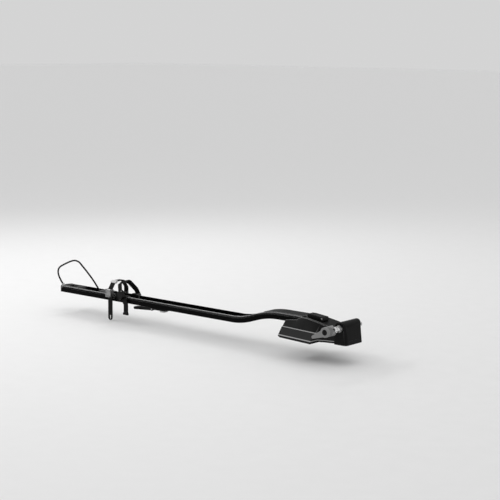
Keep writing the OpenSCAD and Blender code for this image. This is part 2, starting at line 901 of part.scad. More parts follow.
// Side view of the lid: its underside follows the moulding, its top steps down to the front
function lid_seat(x) = lookup(x, spine_profile) + free_gap;

module lid_outline(inset, rib)
    polygon([
        [lid_side, lid_seat(lid_side) - inset], [spine_drop_x, lid_seat(spine_drop_x) - inset],
        [spine_mid_x, lid_seat(spine_mid_x) - inset],
        [lid_front - lid_nose, lid_seat(lid_front - lid_nose) - inset],
        [lid_front, lid_seat(lid_front) + lid_nose], [lid_front, lid_seat(lid_front) + lid_tail - 2 * lid_nose],
        [lid_front - lid_nose, lid_seat(lid_front) + lid_tail - inset + rib],
        [lid_shoulder, spine_z + lid_top - inset + rib], [lid_side, spine_z + lid_top - inset + rib]]);

module knuckle_outline()
    polygon([
        [lid_back, lid_pin_z - lid_barrel_r], [lid_side + through, spine_z + free_gap],
        [lid_side + through, spine_z + lid_top], [lid_back, lid_pin_z + lid_barrel_r]]);

module bolt_lid()
    color([0.07, 0.07, 0.07])
        difference() {
            union() {
                difference() {
                    union() {
                        side_form([-lid_half, lid_half])
                            lid_outline(0, 0);
                        for (y = lid_ribs)
                            side_form([y - lid_rib_half, y + lid_rib_half])
                                lid_outline(0, lid_rib);
                    }
                    side_form([-lid_half + lid_wall, lid_half - lid_wall])
                        intersection() {
                            lid_outline(lid_wall, 0);
                            translate([lid_side + 2 * lid_wall, 0])
                                square([lid_hollow_front - lid_side - 2 * lid_wall, 2 * spine_z]);
                        }
                }
                side_form([-lid_knuckle, lid_knuckle])
                    knuckle_outline();
                rod_y(lid_back, lid_pin_z, lid_barrel_r, [-lid_knuckle, lid_knuckle]);
            }
            rod_y(lid_back, lid_pin_z, lid_pin_r + run_gap, [-lid_half, lid_half]);
            rod_y(lid_lock_x, lid_lock_z, lid_lock_r + run_gap,
                [-lid_half - through, -lid_half + lid_lock_deep + free_gap]);
        }

module lid_pin()
    color([0.60, 0.60, 0.61])
        rod_y(lid_back, lid_pin_z, lid_pin_r,
            [-lid_knuckle - loose_gap - lug_width, lid_knuckle + loose_gap + lug_width]);

module lid_lock()
    color([0.72, 0.72, 0.73])
        difference() {
            rod_y(lid_lock_x, lid_lock_z, lid_lock_r, [-lid_half - lid_lock_proud, -lid_half + lid_lock_deep]);
            block([lid_lock_x - key_width / 4, lid_lock_x + key_width / 4],
                [-lid_half - lid_lock_proud - through, -lid_half + key_deep],
                [lid_lock_z - lid_lock_r / 2, lid_lock_z + lid_lock_r / 2]);
        }

module axle_tube()
    color([0.66, 0.66, 0.67])
        difference() {
            union() {
                rod_y(axle_forward, axle_height, tube_r, [-end_y, end_y]);
                rod_y(axle_forward, axle_height, stub_r, [-stub_reach, stub_reach]);
            }
            rod_y(axle_forward, axle_height, tube_bore, [-stub_reach - through, stub_reach + through]);
        }

module dropout_seats()
    color([0.50, 0.50, 0.51])
        both_sides()
            difference() {
                rod_y(axle_forward, axle_height, seat_r, [end_y, fork_spacing / 2]);
                rod_y(axle_forward, axle_height, stub_r, [end_y - through, fork_spacing]);
                for (i = [0 : seat_teeth - 1])
                    translate([axle_forward, fork_spacing / 2, axle_height])
                        rotate([0, 360 * i / seat_teeth, 0])
                            block([stub_r + 1.5, seat_r + through], [-0.6, through], [-0.5, 0.5]);
            }

module skewer()
    color([0.70, 0.70, 0.71])
        difference() {
            union() {
                rod_y(axle_forward, axle_height, skewer_r, [-pivot_y, skewer_end]);
                lever_place()
                    translate([0, 0, -eye_half])
                        cylinder(r = eye_r, h = 2 * eye_half);
            }
            lever_place()
                translate([0, 0, -pin_half])
                    cylinder(r = lever_pin_r + run_gap, h = 2 * pin_half);
        }

module cam_collar()
    color([0.80, 0.80, 0.81])
        difference() {
            union() {
                rod_y(axle_forward, axle_height, collar_r, [-collar_y - collar_step, -collar_y]);
                rod_y(axle_forward, axle_height, collar_step_r, [-collar_y - collar_length + 5, -collar_y]);
                rod_y(axle_forward, axle_height, collar_r,
                    [-collar_y - collar_length, -collar_y - collar_length + 6]);
            }
            rod_y(axle_forward, axle_height, tube_bore, [-pivot_y, 0]);
        }

// The lever's own frame: X along its arm, Y along the skewer, Z along its pivot pin
module lever_place()
    translate([axle_forward, -pivot_y, axle_height])
        rotate([0, lever_turn, 0])
            children();

module arm_outline() {
    polygon([
        [0, -arm_root_low], [lever_length - arm_tip_r, -arm_tip_r],
        [lever_length - arm_tip_r, arm_tip_r], [0, arm_root_high]]);
    translate([lever_length - arm_tip_r, 0])
        circle(r = arm_tip_r);
}

module cam_lever()
    color([0.42, 0.42, 0.43])
        lever_place()
            difference() {
                union() {
                    rod_y(0, 0, lever_radius, [-barrel_out, 0]);
                    intersection() {
                        rod_y(0, 0, lever_radius, [-1, lever_radius]);
                        translate([0, 0, -lever_radius])
                            cylinder(r = lever_radius, h = 2 * lever_radius);
                    }
                    side_form([-arm_far, -arm_near])
                        arm_outline();
                }
                for (g = barrel_grooves)
                    difference() {
                        rod_y(0, 0, lever_radius + through, [-g - groove_width, -g]);
                        rod_y(0, 0, lever_radius - groove_cut, [-g - groove_width, -g]);
                        block([0, lever_length], [-arm_far, -arm_near], [-lever_radius, lever_radius]);
                    }
                block([-lever_radius - through, skewer_r + loose_gap],
                    [-skewer_r - loose_gap, lever_radius + through], [-slot_half, slot_half]);
                translate([0, 0, -slot_half])
                    cylinder(r = slot_r, h = 2 * slot_half);
                translate([0, 0, -pin_half])
                    cylinder(r = lever_pin_r, h = 2 * pin_half);
                rod_y(0, 0, lock_r + run_gap, [-barrel_out - through, -barrel_out + lock_depth]);
            }

module lever_pin()
    color([0.60, 0.60, 0.61])
        lever_place()
            translate([0, 0, -pin_half])
                cylinder(r = lever_pin_r, h = 2 * pin_half);

module lever_lock()
    color([0.09, 0.09, 0.09])
        translate([axle_forward, -pivot_y - barrel_out, axle_height])
            difference() {
                rod_y(0, 0, lock_r, [-lock_proud, lock_depth - free_gap]);
                block([-key_width / 2, key_width / 2], [-lock_proud - through, key_deep],
                    [-key_length / 2, key_length / 2]);
            }

module adjusting_nut()
    color([0.62, 0.62, 0.63])
        difference() {
            rod_y(axle_forward, axle_height, knob_r, [collar_y, collar_y + knob_length]);
            rod_y(axle_forward, axle_height, skewer_r + run_gap, [0, skewer_end + through]);
            for (i = [0 : knob_flutes - 1])
                translate([axle_forward, 0, axle_height])
                    rotate([0, 360 * i / knob_flutes, 0])
                        rod_y(knob_r, 0, knob_flute_r, [collar_y + 3, collar_y + knob_length + through]);
        }

module rear_foot()
    color([0.12, 0.12, 0.13])
        difference() {
            union() {
                block([rear_x - rear_half_x, rear_x + rear_half_x], [-rear_half_y, rear_half_y],
                    [rear_pad_thick, rear_top]);
                both_sides()
                    block([clamp_x, rear_x], [clamp_in, clamp_out], [rear_pad_thick, rear_top]);
                both_sides()
                    rod_y(clamp_x, clamp_z, clamp_lug_r, [clamp_in, clamp_out]);
                both_sides()
                    block([clamp_x - clamp_lug_r, clamp_x + clamp_lug_r], [clamp_in, clamp_out],
                        [clamp_z, rear_top]);
            }
            rod_z(rear_x, 0, rear_hole_r, [0, rear_top + through]);
            rod_y(clamp_x, clamp_z, clamp_pin_r, [-clamp_out - through, clamp_out + through]);
        }

module rear_pad()
    color([0.05, 0.05, 0.05])
        difference() {
            block([rear_x - rear_pad_x, rear_x + rear_pad_x], [-rear_pad_y, rear_pad_y], [0, rear_pad_thick]);
            rod_z(rear_x, 0, pad_hole_r, [-through, rear_pad_thick + through]);
        }

module rear_bolt()
    color([0.60, 0.60, 0.61])
        union() {
            block([rear_x - tee_side / 2, rear_x + tee_side / 2], [-tee_side / 2, tee_side / 2],
                [-lip_thick - tee_thick, -lip_thick]);
            rod_z(rear_x, 0, bolt_r, [-lip_thick - through, rear_stud_top]);
        }

module rear_plate()
    color([0.55, 0.55, 0.56])
        difference() {
            block([rear_x - plate_x, rear_x + plate_x], [-plate_y, plate_y], [plate_low, plate_high]);
            rod_z(rear_x, 0, rear_hole_r, [plate_low - through, plate_high + through]);
        }

module rear_nut()
    color([0.62, 0.62, 0.63])
        difference() {
            translate([rear_x, 0, plate_high])
                cylinder(r = hex_r, h = hex_high, $fn = 6);
            rod_z(rear_x, 0, bolt_r, [plate_high - through, plate_high + 2 * hex_high]);
        }

module clamp_outline()
    difference() {
        union() {
            translate([clamp_x, clamp_z])
                circle(r = clamp_barrel_r);
            polygon([
                [clamp_x, clamp_z + clamp_barrel_r], [clamp_x - clamp_length, clamp_tip_z + clamp_tip_r],
                [clamp_x - clamp_length, clamp_tip_z - clamp_tip_r], [clamp_x, clamp_z - clamp_barrel_r]]);
            translate([clamp_x - clamp_length, clamp_tip_z])
                circle(r = clamp_tip_r);
        }
        for (s = scallops)
            translate([clamp_x - s, scallop_z])
                circle(r = scallop_r);
        translate([clamp_x, clamp_z])
            circle(r = clamp_pin_r + run_gap);
    }

module clamp_lever()
    color([0.08, 0.08, 0.09])
        side_form([-clamp_half, clamp_half])
            clamp_outline();

module clamp_pin()
    color([0.60, 0.60, 0.61])
        rod_y(clamp_x, clamp_z, clamp_pin_r, [-clamp_out, clamp_out]);

// A strap's own frame: its plane leans about a level line at the rail's rim
module strap_place(which)
    translate([strap_places[which], 0, rim_z])
        rotate([0, strap_leans[which], 0])
            translate([0, 0, -rim_z])
                children();

module strap_cradle()
    color([0.11, 0.11, 0.12])
        difference() {
            union() {
                block([cradle_back, cradle_front], [-cradle_wall_out, cradle_wall_out],
                    [cradle_low, cradle_low + cradle_floor]);
                both_sides()
                    block([cradle_back, cradle_front], [cradle_wall_in, cradle_wall_out],
                        [cradle_low, tab_low + through]);
                for (x = strap_places)
                    both_sides() {
                        block([x - tab_half, x + tab_half], [cradle_wall_in, lip_out], [tab_low, cradle_top]);
                        block([x - tab_half, x + tab_half], [lip_in, lip_out], [lip_low, cradle_top]);
                    }
                for (x = strap_places)
                    block([x - strap_half, x + strap_half], [lip_in, arch_in], [lip_low, cradle_top]);
            }
            for (which = [rear, front])
                strap_place(which)
                    rod_y(0, rivet_z, rivet_r, [lip_in - through, arch_out + through]);
        }

// Legs that lean in to two round shoulders with a flat crown between them
module arch_outline(half, r, top) {
    reach = [half - shoulder_y, frame_high - top];
    turn = atan2(reach[1], reach[0]) + acos(r / norm(reach));
    touch = [shoulder_y + r * cos(turn), top + r * sin(turn)];
    for (side = [-1, 1])
        translate([side * shoulder_y, top])
            circle(r = r, $fn = 96);
    polygon([
        [-half, frame_high], [half, frame_high], touch, [shoulder_y, top + r], [-shoulder_y, top + r],
        [-touch[0], touch[1]]]);
}

// A strap in its own plane: far leg, arch over the rim, near leg through the buckle
module strap_form(which, low) {
    top = rim_z + (arch_height - rim_z) / cos(strap_leans[which]);
    difference() {
        cross_form([-strap_half, strap_half]) {
            difference() {
                arch_outline(arch_out, crown_radius + strap_thick, top);
                arch_outline(arch_in, crown_radius, top);
                translate([-2 * arch_out, frame_high - 4 * arch_out])
                    square(4 * arch_out);
            }
            translate([arch_in, strap_end_low])
                square([strap_thick, frame_high - strap_end_low]);
            translate([-arch_out, low])
                square([strap_thick, frame_high - low]);
        }
        rod_y(0, rivet_z, rivet_r, [arch_in - through, arch_out + through]);
    }
}

// Shallow rungs across the outer face of a tail
module tail_rungs(x, z)
    for (low = [z[0] : rung_pitch : z[1] - rung_high])
        block([x - strap_half + rung_margin, x + strap_half - rung_margin],
            [-arch_out - through, -arch_out + rung_deep], [low, low + rung_high]);

module rear_strap()
    color([0.07, 0.07, 0.07])
        strap_place(rear)
            difference() {
                union() {
                    strap_form(rear, -rear_tail + strap_half);
                    rod_y(0, -rear_tail + strap_half, strap_half, [-arch_out, -arch_in]);
                }
                tail_rungs(0, [-rear_tail + eyelet_length + 2 * rung_margin, frame_low - 2 * rung_margin]);
                block([-eyelet_width / 2, eyelet_width / 2], [-arch_out - through, -arch_in + through],
                    [-rear_tail + eyelet_up, -rear_tail + eyelet_up + eyelet_length - eyelet_width / 2]);
                rod_y(0, -rear_tail + eyelet_up + eyelet_length - eyelet_width / 2, eyelet_width / 2,
                    [-arch_out - through, -arch_in + through]);
            }

// The front strap leans; its tail turns at a bend and hangs straight down to a thicker end
module front_strap()
    color([0.07, 0.07, 0.07])
        union() {
            strap_place(front)
                strap_form(front, rim_z - tail_bend);
            translate([front_strap_x + bend_x, 0, 0])
                difference() {
                    union() {
                        rod_y(0, bend_z, strap_half + bend_proud,
                            [-arch_out - bend_proud, -arch_in + bend_proud]);
                        block([-strap_half, strap_half], [-arch_out, -arch_in], [-front_tail, bend_z]);
                        block([-strap_half - tab_thick, strap_half + tab_thick],
                            [-arch_out - tab_thick, -arch_out + through], [-front_tail, -front_tail + tab_high]);
                    }
                    tail_rungs(0, [-front_tail + tab_high + rung_margin, bend_z - strap_half - rung_high]);
                }
        }

// A sleeve round the near shoulder of the rear strap
module rim_pad()
    color([0.75, 0.75, 0.76])
        translate([rear_strap_x, -shoulder_y, arch_height])
            rotate([0, 90, 0])
                rotate([0, 0, 180 + pad_tilt - pad_angle / 2])
                    rotate_extrude(angle = pad_angle, $fn = 96)
                        difference() {
                            translate([pad_in, -pad_half])
                                square([pad_out - pad_in, 2 * pad_half]);
                            translate([crown_radius, -strap_half])
                                square([strap_thick, strap_width]);
                        }

module buckle_form()
    difference() {
        union() {
            block([-cheek_out, cheek_out], [-lip_out - frame_thick, -lip_out], [frame_low, frame_high]);
            for (side = [-1, 1])
                translate([side * (cheek_in + cheek_out) / 2, 0, 0])
                    block([(cheek_in - cheek_out) / 2, (cheek_out - cheek_in) / 2], [-cheek_y, -lip_out],
                        [frame_low, frame_high]);
        }
        rod_x(-buckle_pin_y, buckle_pin_z, buckle_pin_r, [-2 * cheek_out, 2 * cheek_out]);
    }

module handle_form()
    difference() {
        union() {
            rod_x(-buckle_pin_y, buckle_pin_z, buckle_barrel_r, [-handle_half, handle_half]);
            block([-handle_half, handle_half], [-handle_out, -handle_in], [handle_low, buckle_pin_z]);
            block([-handle_half, handle_half], [-handle_out - handle_lip, -handle_in],
                [handle_low, handle_low + handle_lip]);
        }
        rod_x(-buckle_pin_y, buckle_pin_z, buckle_pin_r + run_gap, [-2 * cheek_out, 2 * cheek_out]);
    }

module rear_buckle()
    color([0.55, 0.55, 0.56])
        strap_place(rear)
            buckle_form();

module front_buckle()
    color([0.55, 0.55, 0.56])
        strap_place(front)
            buckle_form();

module rear_buckle_lever()
    color([0.12, 0.12, 0.12])
        strap_place(rear)
            handle_form();

module front_buckle_lever()
    color([0.12, 0.12, 0.12])
        strap_place(front)
            handle_form();

module buckle_pins()
    color([0.65, 0.65, 0.66])
        for (which = [rear, front])
            strap_place(which)
                rod_x(-buckle_pin_y, buckle_pin_z, buckle_pin_r, [-cheek_out, cheek_out]);

module strap_rivets()
    color([0.65, 0.65, 0.66])
        for (which = [rear, front])
            strap_place(which) {
                rod_y(0, rivet_z, rivet_r, [lip_in, arch_out]);
                rod_y(0, rivet_z, rivet_head_r, [arch_out, arch_out + rivet_head]);
            }

module lock_cable()
    color([0.04, 0.04, 0.04])
        cable_form(feed_route, cable_r, [0, 1, 0]);

module cable_loop()
    color([0.04, 0.04, 0.04])
        cable_form(loop_route, cable_r, [0, 0, 1]);

module lock_plan()
    for (turn = [0, 1]) {
        translate([lock_back + (turn == 0 ? lock_round : 0), -lock_half + (turn == 0 ? 0 : lock_round)])
            square([lock_length - (turn == 0 ? 2 * lock_round : 0),
                lock_width - (turn == 0 ? 0 : 2 * lock_round)]);
        for (x = [lock_back + lock_round, lock_front - lock_round])
            for (y = [-lock_half + lock_round, lock_half - lock_round])
                translate([x, y])
                    circle(r = lock_round);
    }

module lock_body()
    color([0.06, 0.06, 0.06])
        difference() {
            plan_form([lock_z, lock_z + lock_height])
                lock_plan();
            rod_x(0, lock_port_z, cable_r + port_gap, [lock_back - through, lock_back + lock_port]);
            both_sides()
                rod_x(lock_port_y, lock_port_z, cable_r + port_gap,
                    [lock_front - lock_port, lock_front + through]);
            rod_z(core_x, key_y, core_lock_r + run_gap,
                [lock_z + lock_height - core_deep, lock_z + lock_height + through]);
        }

module lock_cylinder()
    color([0.55, 0.55, 0.56])
        difference() {
            rod_z(core_x, key_y, core_lock_r,
                [lock_z + lock_height - core_deep, lock_z + lock_height + core_proud]);
            block([core_x - key_length / 2, core_x + key_length / 2],
                [key_y - key_width / 2, key_y + key_width / 2],
                [lock_z + lock_height - key_deep, lock_z + lock_height + through]);
        }

wheel_rail();
hump_cover();
rail_screws();
tail_cap();
tail_screws();
cable_ferrule();
foot_pad();
head_base();
head_cover();
head_casting();
fork_shell();
front_bolts();
front_t_nuts();
bolt_lid();
lid_pin();
lid_lock();
axle_tube();
dropout_seats();
skewer();
cam_collar();
cam_lever();
lever_pin();
lever_lock();
adjusting_nut();
rear_foot();
rear_pad();
rear_bolt();
rear_plate();
rear_nut();
clamp_lever();
clamp_pin();
strap_cradle();
rear_strap();
front_strap();
rim_pad();
rear_buckle();
front_buckle();
rear_buckle_lever();
front_buckle_lever();
buckle_pins();
strap_rivets();
lock_cable();
cable_loop();
lock_body();
lock_cylinder();
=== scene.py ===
import json
import math

import bpy
from mathutils import Matrix, Vector


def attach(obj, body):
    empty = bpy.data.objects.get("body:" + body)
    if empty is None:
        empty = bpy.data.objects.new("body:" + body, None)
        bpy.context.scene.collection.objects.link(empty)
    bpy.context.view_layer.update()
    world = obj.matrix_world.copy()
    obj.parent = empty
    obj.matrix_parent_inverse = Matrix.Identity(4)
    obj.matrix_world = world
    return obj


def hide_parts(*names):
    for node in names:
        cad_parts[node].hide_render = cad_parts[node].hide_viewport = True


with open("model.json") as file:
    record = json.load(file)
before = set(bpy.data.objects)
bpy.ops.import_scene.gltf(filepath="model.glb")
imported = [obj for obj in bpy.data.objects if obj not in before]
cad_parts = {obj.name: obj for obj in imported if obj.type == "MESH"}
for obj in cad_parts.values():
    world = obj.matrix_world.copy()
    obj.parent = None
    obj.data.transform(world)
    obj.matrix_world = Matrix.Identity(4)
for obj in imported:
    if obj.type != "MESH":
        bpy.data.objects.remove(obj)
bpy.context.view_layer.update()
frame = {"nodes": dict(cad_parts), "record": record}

MM = 0.001
WHITE = (1, 1, 1, 1)

# Camera, fitted to the photograph
CAMERA_PLACE = Vector((2.609, -3.429, 0.9295))
CAMERA_TURN = math.radians(40.35)
CAMERA_TILT = math.radians(8.57)
CAMERA_ROLL = math.radians(0.45)
CAMERA_LENS = 99.96
CAMERA_SENSOR = 36.0

# Noise of the finishes: its detail, and the part of its range that is used
NOISE_DETAIL = 4.0
NOISE_LOW = 0.3
NOISE_HIGH = 0.7

# Painted edge highlights: how far the rounded normal leaves the face, from no highlight to full
# highlight
EDGE_SAMPLES = 6
EDGE_NO_HIGHLIGHT = 0.985
EDGE_FULL_HIGHLIGHT = 0.92

# Painted rim highlights on open tops: how far a face looks up, and how free the space near it is, in
# metres
UPWARD_LOW = 0.4
UPWARD_HIGH = 0.7
CLEAR_SAMPLES = 6
CLEAR_REACH = 0.008
CLEAR_LOW = 0.85
CLEAR_HIGH = 0.98

# Softened edges of the CAD nodes, in millimetres
EDGE_WIDTHS = {
    "wheel_rail": 0.9, "hump_cover": 0.8, "head_base": 1.2, "head_cover": 1.2, "fork_shell": 1.6,
    "tail_cap": 1.0, "cam_lever": 0.8, "bolt_lid": 0.5, "lock_body": 1.5, "strap_cradle": 0.6,
    "rear_foot": 0.8, "clamp_lever": 0.8, "foot_pad": 0.6}
EDGE_DEFAULT = 0.25
EDGE_SEGMENTS = 2
EDGE_ANGLE = math.radians(35)
WELD_DISTANCE = 0.00001

# Cable lock: routes of the two cables, in millimetres, as in the part's source
CABLE_DIAMETER = 6.0
CABLE_RESOLUTION = 5
FEED_ROUTE = [
    (-1187, -12, 14.8), (-1200, -12, 30), (-1213, -12, 44), (-1223, -12, 58), (-1228.5, -12, 72),
    (-1226.5, -12, 85), (-1217, -12, 95.5), (-1199, -12, 105), (-1178, -12, 114.5), (-1156, -12, 123),
    (-1135, -12, 127.5), (-1114, -12, 124), (-1097, -12, 112), (-1080, -8, 95), (-1052, -3, 66),
    (-1030, 0, 40), (-1012, 0, 21), (-994, 0, 20)]
LOOP_TURN = -770
LOOP_RADIUS = 24
LOOP_LOW = 13.5
LOOP_SIDE = [
    (-958, 13, 20), (-946, 13, 20), (-926, 15.5, 16.4), (-894, 16.5, 16.4), (-838, 16.5, 16.4),
    (-803, 16.5, 16.4), (LOOP_TURN, LOOP_RADIUS, LOOP_LOW)]
LOOP_END_ANGLES = (60, 30, 0, -30, -60)
ROUTE_STEPS = 8

# Wheel straps, in millimetres and degrees
RIM_Z = 30
REAR_STRAP = {"x": -922, "lean": 0, "tail": -61}
FRONT_STRAP = {"x": -860, "lean": 35, "tail": -32}
STRAP_HALF = 10
STRAP_THICK = 3
STRAP_SIDE = 39.7
STRAP_SOFTNESS = 0.5
SHOULDER_Y = 15
SHOULDER_Z = 66
SHOULDER_RADIUS = 11.5
SHOULDER_STEPS = 12
LEG_TOP_Z = 52
LEG_EASE = 2
FAR_END_Z = 20
TAIL_BEND = 29
TAIL_STEPS = 10
BEND_RADIUS = 18
BEND_STEPS = 8
RUNG_PITCH = 6
RUNG_LENGTH = 2
RUNG_DEPTH = 0.8
RUNG_SLOPE = 0.3
RUNG_HALF = 6
RUNG_SIDE = 0.4
RUNG_GAP = 4
RUNG_TOP_Z = 17
RUNG_SHARE = 0.7
RUNG_EDGE_SHARE = 0.8
EYELET_WIDTH = 7
EYELET_LOW = 5
EYELET_HIGH = 18
EYELET_ROUND = EYELET_WIDTH / 2.2
EYELET_SEGMENTS = 6
TAB_HIGH = 8
TAB_OUT = 2
TAB_EDGE = 1

# Rim pad: a sleeve round the near shoulder of the rear strap, in millimetres and degrees
PAD_HALF = 13
PAD_INNER = 7
PAD_OUTER = 14.8
PAD_TILT = 29
PAD_ANGLE = 66
PAD_ROWS = 20
PAD_SWELL = 0.9
PAD_SWELL_POWER = 4
PAD_ROUND = 1.2
PAD_SLOT_GAP = 0.3
PAD_SLOT_ROUND = 0.2
PAD_CORNER_STEPS = 5
PAD_SOFTNESS = 0.3

# Edges of straps and pad
SOFT_SEGMENTS = 3

# Floor, just below the lowest strap end, in metres
FLOOR_Z = -0.064
FLOOR_HALF = 40

# Light, in metres and watts
MIDDLE = (-0.5, 0, 0.03)
SOFTBOXES = {
    "overhead": {"place": (0.3, 0.2, 2.6), "size": (3.0, 2.6), "power": 4},
    "shoulder_strip": {"place": (-2.5, -1.13, 2.0), "size": (2.2, 0.25), "power": 22},
    "ridge_strip": {"place": (-2.5, 1.41, 1.83), "size": (2.0, 0.25), "power": 13},
}
WORLD_LIGHT = 0.8
WORLD_SEEN = 0.66


def metres(points):
    return [Vector(p) * MM for p in points]


def link(obj):
    bpy.context.scene.collection.objects.link(obj)
    return obj


def rounded(points, steps):
    """A smooth line through the points."""
    line = []
    last = len(points) - 1
    for i in range(last):
        a = points[max(i - 1, 0)]
        b = points[i]
        c = points[i + 1]
        d = points[min(i + 2, last)]
        for s in range(steps):
            t = s / steps
            line.append(0.5 * (2 * b + (c - a) * t + (2 * a - 5 * b + 4 * c - d) * t ** 2
                               + (3 * b - a - 3 * c + d) * t ** 3))
    line.append(points[last])
    return line


# Camera
def make_camera():
    back = Vector((math.sin(CAMERA_TURN) * math.cos(CAMERA_TILT),
                   -math.cos(CAMERA_TURN) * math.cos(CAMERA_TILT),
                   math.sin(CAMERA_TILT)))
    level_right = Vector((math.cos(CAMERA_TURN), math.sin(CAMERA_TURN), 0))
    level_up = back.cross(level_right)
    right = math.cos(CAMERA_ROLL) * level_right + math.sin(CAMERA_ROLL) * level_up
    up = math.cos(CAMERA_ROLL) * level_up - math.sin(CAMERA_ROLL) * level_right
    data = bpy.data.cameras.new("camera")
    data.lens = CAMERA_LENS
    data.sensor_width = CAMERA_SENSOR
    camera = link(bpy.data.objects.new("camera", data))
    turn = Matrix((right, up, back)).transposed()
    camera.matrix_world = Matrix.Translation(CAMERA_PLACE) @ turn.to_4x4()
    bpy.context.scene.camera = camera


make_camera()


# Materials
def grey(value):
    return (value, value, value)


def object_noise(tree, scale, stretch):
    place = tree.nodes.new("ShaderNodeTexCoord")
    mapping = tree.nodes.new("ShaderNodeMapping")
    mapping.inputs["Scale"].default_value = stretch
    noise = tree.nodes.new("ShaderNodeTexNoise")
    noise.inputs["Scale"].default_value = scale
    noise.inputs["Detail"].default_value = NOISE_DETAIL
    tree.links.new(place.outputs["Object"], mapping.inputs["Vector"])
    tree.links.new(mapping.outputs["Vector"], noise.inputs["Vector"])
    return noise.outputs["Fac"]


def rescale(tree, value, from_low, from_high, to_low=0.0, to_high=1.0):
    scale = tree.nodes.new("ShaderNodeMapRange")
    scale.inputs["From Min"].default_value = from_low
    scale.inputs["From Max"].default_value = from_high
    scale.inputs["To Min"].default_value = to_low
    scale.inputs["To Max"].default_value = to_high
    tree.links.new(value, scale.inputs["Value"])
    return scale.outputs["Result"]


def combine(tree, operation, first, second):
    node = tree.nodes.new("ShaderNodeMath")
    node.operation = operation
    tree.links.new(first, node.inputs[0])
    tree.links.new(second, node.inputs[1])
    return node.outputs["Value"]


def shades(tree, factor, dark, light):
    ramp = tree.nodes.new("ShaderNodeValToRGB")
    ramp.color_ramp.elements[0].position = NOISE_LOW
    ramp.color_ramp.elements[1].position = NOISE_HIGH
    ramp.color_ramp.elements[0].color = (*dark, 1)
    ramp.color_ramp.elements[1].color = (*light, 1)
    tree.links.new(factor, ramp.inputs["Fac"])
    return ramp.outputs["Color"]


def blend(tree, mask, colour, tone):
    """The colour, with a grey tone where the mask is one."""
    mix = tree.nodes.new("ShaderNodeMix")
    mix.data_type = "RGBA"
    mix.inputs["B"].default_value = (*grey(tone), 1)
    tree.links.new(mask, mix.inputs["Factor"])
    tree.links.new(colour, mix.inputs["A"])
    return mix.outputs["Result"]


def add_bump(tree, shader, height, strength, distance):
    bump = tree.nodes.new("ShaderNodeBump")
    bump.inputs["Strength"].default_value = strength
    bump.inputs["Distance"].default_value = distance
    tree.links.new(height, bump.inputs["Height"])
    tree.links.new(bump.outputs["Normal"], shader.inputs["Normal"])


def painted_edge_highlight(tree, radius):
    """Painted highlight mask: one on rounded edges, nothing on open faces."""
    bevel = tree.nodes.new("ShaderNodeBevel")
    bevel.samples = EDGE_SAMPLES
    bevel.inputs["Radius"].default_value = radius
    face = tree.nodes.new("ShaderNodeNewGeometry")
    product = tree.nodes.new("ShaderNodeVectorMath")
    product.operation = "DOT_PRODUCT"
    tree.links.new(bevel.outputs["Normal"], product.inputs[0])
    tree.links.new(face.outputs["True Normal"], product.inputs[1])
    return rescale(tree, product.outputs["Value"], EDGE_NO_HIGHLIGHT, EDGE_FULL_HIGHLIGHT)


def rim_highlight_mask(tree):
    """Painted highlight mask: one on faces that look up with nothing close beside them, such as a
    rim.
    """
    face = tree.nodes.new("ShaderNodeNewGeometry")
    axes = tree.nodes.new("ShaderNodeSeparateXYZ")
    tree.links.new(face.outputs["True Normal"], axes.inputs["Vector"])
    upward = rescale(tree, axes.outputs["Z"], UPWARD_LOW, UPWARD_HIGH)
    around = tree.nodes.new("ShaderNodeAmbientOcclusion")
    around.samples = CLEAR_SAMPLES
    around.only_local = True
    around.inputs["Distance"].default_value = CLEAR_REACH
    clear = rescale(tree, around.outputs["AO"], CLEAR_LOW, CLEAR_HIGH)
    return combine(tree, "MULTIPLY", upward, clear)


def paint_highlight_lines(tree, colour, highlight_levels, tone):
    """Painted highlight lines at some heights, each with its half width, along a moulding's corners.
    """
    place = tree.nodes.new("ShaderNodeTexCoord")
    axes = tree.nodes.new("ShaderNodeSeparateXYZ")
    tree.links.new(place.outputs["Object"], axes.inputs["Vector"])
    for level, half_width in highlight_levels:
        near = tree.nodes.new("ShaderNodeMath")
        near.operation = "COMPARE"
        near.inputs[1].default_value = level
        near.inputs[2].default_value = half_width
        tree.links.new(axes.outputs["Z"], near.inputs[0])
        colour = blend(tree, near.outputs["Value"], colour, tone)
    return colour


def finish(name, tone, tone_spread, rough, rough_spread, metallic=0.0, specular=0.5,
           grain=900.0, grain_strength=0.1, grain_depth=0.0002, patch=18.0, stretch=(1, 1, 1),
           edge_highlight_tone=0.0, edge_radius=0.0015, rims_only=False, highlight_levels=(), line_highlight_tone=0.3):
    """A material with slow patches of tone and gloss, a fine grain and, if asked, painted highlights
    on edges, on upward rims and in lines at given heights.
    """
    material = bpy.data.materials.new(name)
    material.use_nodes = True
    tree = material.node_tree
    shader = tree.nodes["Principled BSDF"]
    slow = object_noise(tree, patch, stretch)
    fine = object_noise(tree, grain, stretch)
    dark = grey(tone * (1 - tone_spread))
    light = grey(tone * (1 + tone_spread))
    colour = shades(tree, slow, dark, light)
    if edge_highlight_tone:
        # Painted highlight: a light tone laid into the colour on rounded edges
        mask = painted_edge_highlight(tree, edge_radius)
        # Painted highlight kept to upward rims with open space around them
        if rims_only:
            mask = combine(tree, "MULTIPLY", mask, rim_highlight_mask(tree))
        colour = blend(tree, mask, colour, edge_highlight_tone)
    # Painted highlight lines at the listed heights
    if highlight_levels:
        colour = paint_highlight_lines(tree, colour, highlight_levels, line_highlight_tone)
    gloss = rescale(tree, slow, NOISE_LOW, NOISE_HIGH, rough - rough_spread, rough + rough_spread)
    tree.links.new(colour, shader.inputs["Base Color"])
    tree.links.new(gloss, shader.inputs["Roughness"])
    shader.inputs["Metallic"].default_value = metallic
    shader.inputs["Specular IOR Level"].default_value = specular
    add_bump(tree, shader, fine, grain_strength, grain_depth)
    return material
